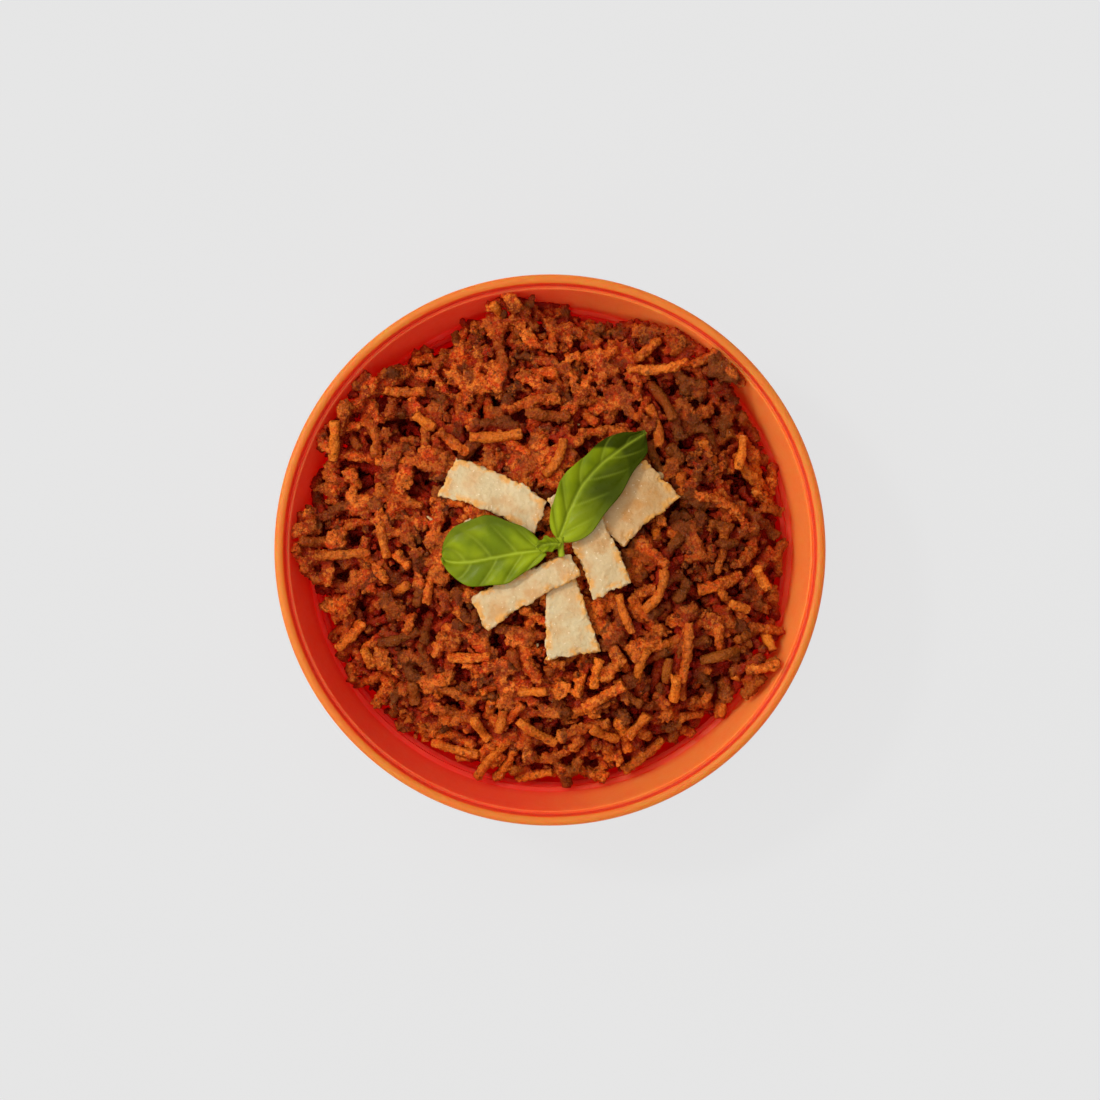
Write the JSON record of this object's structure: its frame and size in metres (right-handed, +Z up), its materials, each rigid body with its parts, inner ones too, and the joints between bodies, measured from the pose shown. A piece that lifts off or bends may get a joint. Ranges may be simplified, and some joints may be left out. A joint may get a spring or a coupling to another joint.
{
  "type": "spaghetti bolognese",
  "caption": "Round stackable plastic bowl filled with a mound of broken spaghetti in meat sauce, topped with cheese shavings and a basil sprig.",
  "frame": {"origin": "centre of the bowl's foot, on the surface that it stands on", "axes": "+Z up along the bowl's axis; +Y towards the back, which is where the taller basil leaf points with a lean to +X"},
  "size_m": [0.16, 0.16, 0.0622],
  "materials": {
    "bowl_plastic": "smooth satin orange plastic",
    "pasta_in_sauce": "moist cooked pasta and minced meat in tomato sauce",
    "hard_cheese": "dry, slightly grainy hard cheese",
    "basil": "fresh glossy leaf"
  },
  "bodies": {
    "root": {"bowl": "bowl_plastic", "spaghetti_bolognese": "pasta_in_sauce", "cheese_shaving_left": "hard_cheese", "cheese_shaving_right": "hard_cheese", "cheese_shaving_middle": "hard_cheese", "cheese_shaving_diagonal": "hard_cheese", "cheese_shaving_bottom": "hard_cheese", "cheese_shaving_hidden": "hard_cheese", "basil_sprig": "basil"}
  },
  "joints": []
}
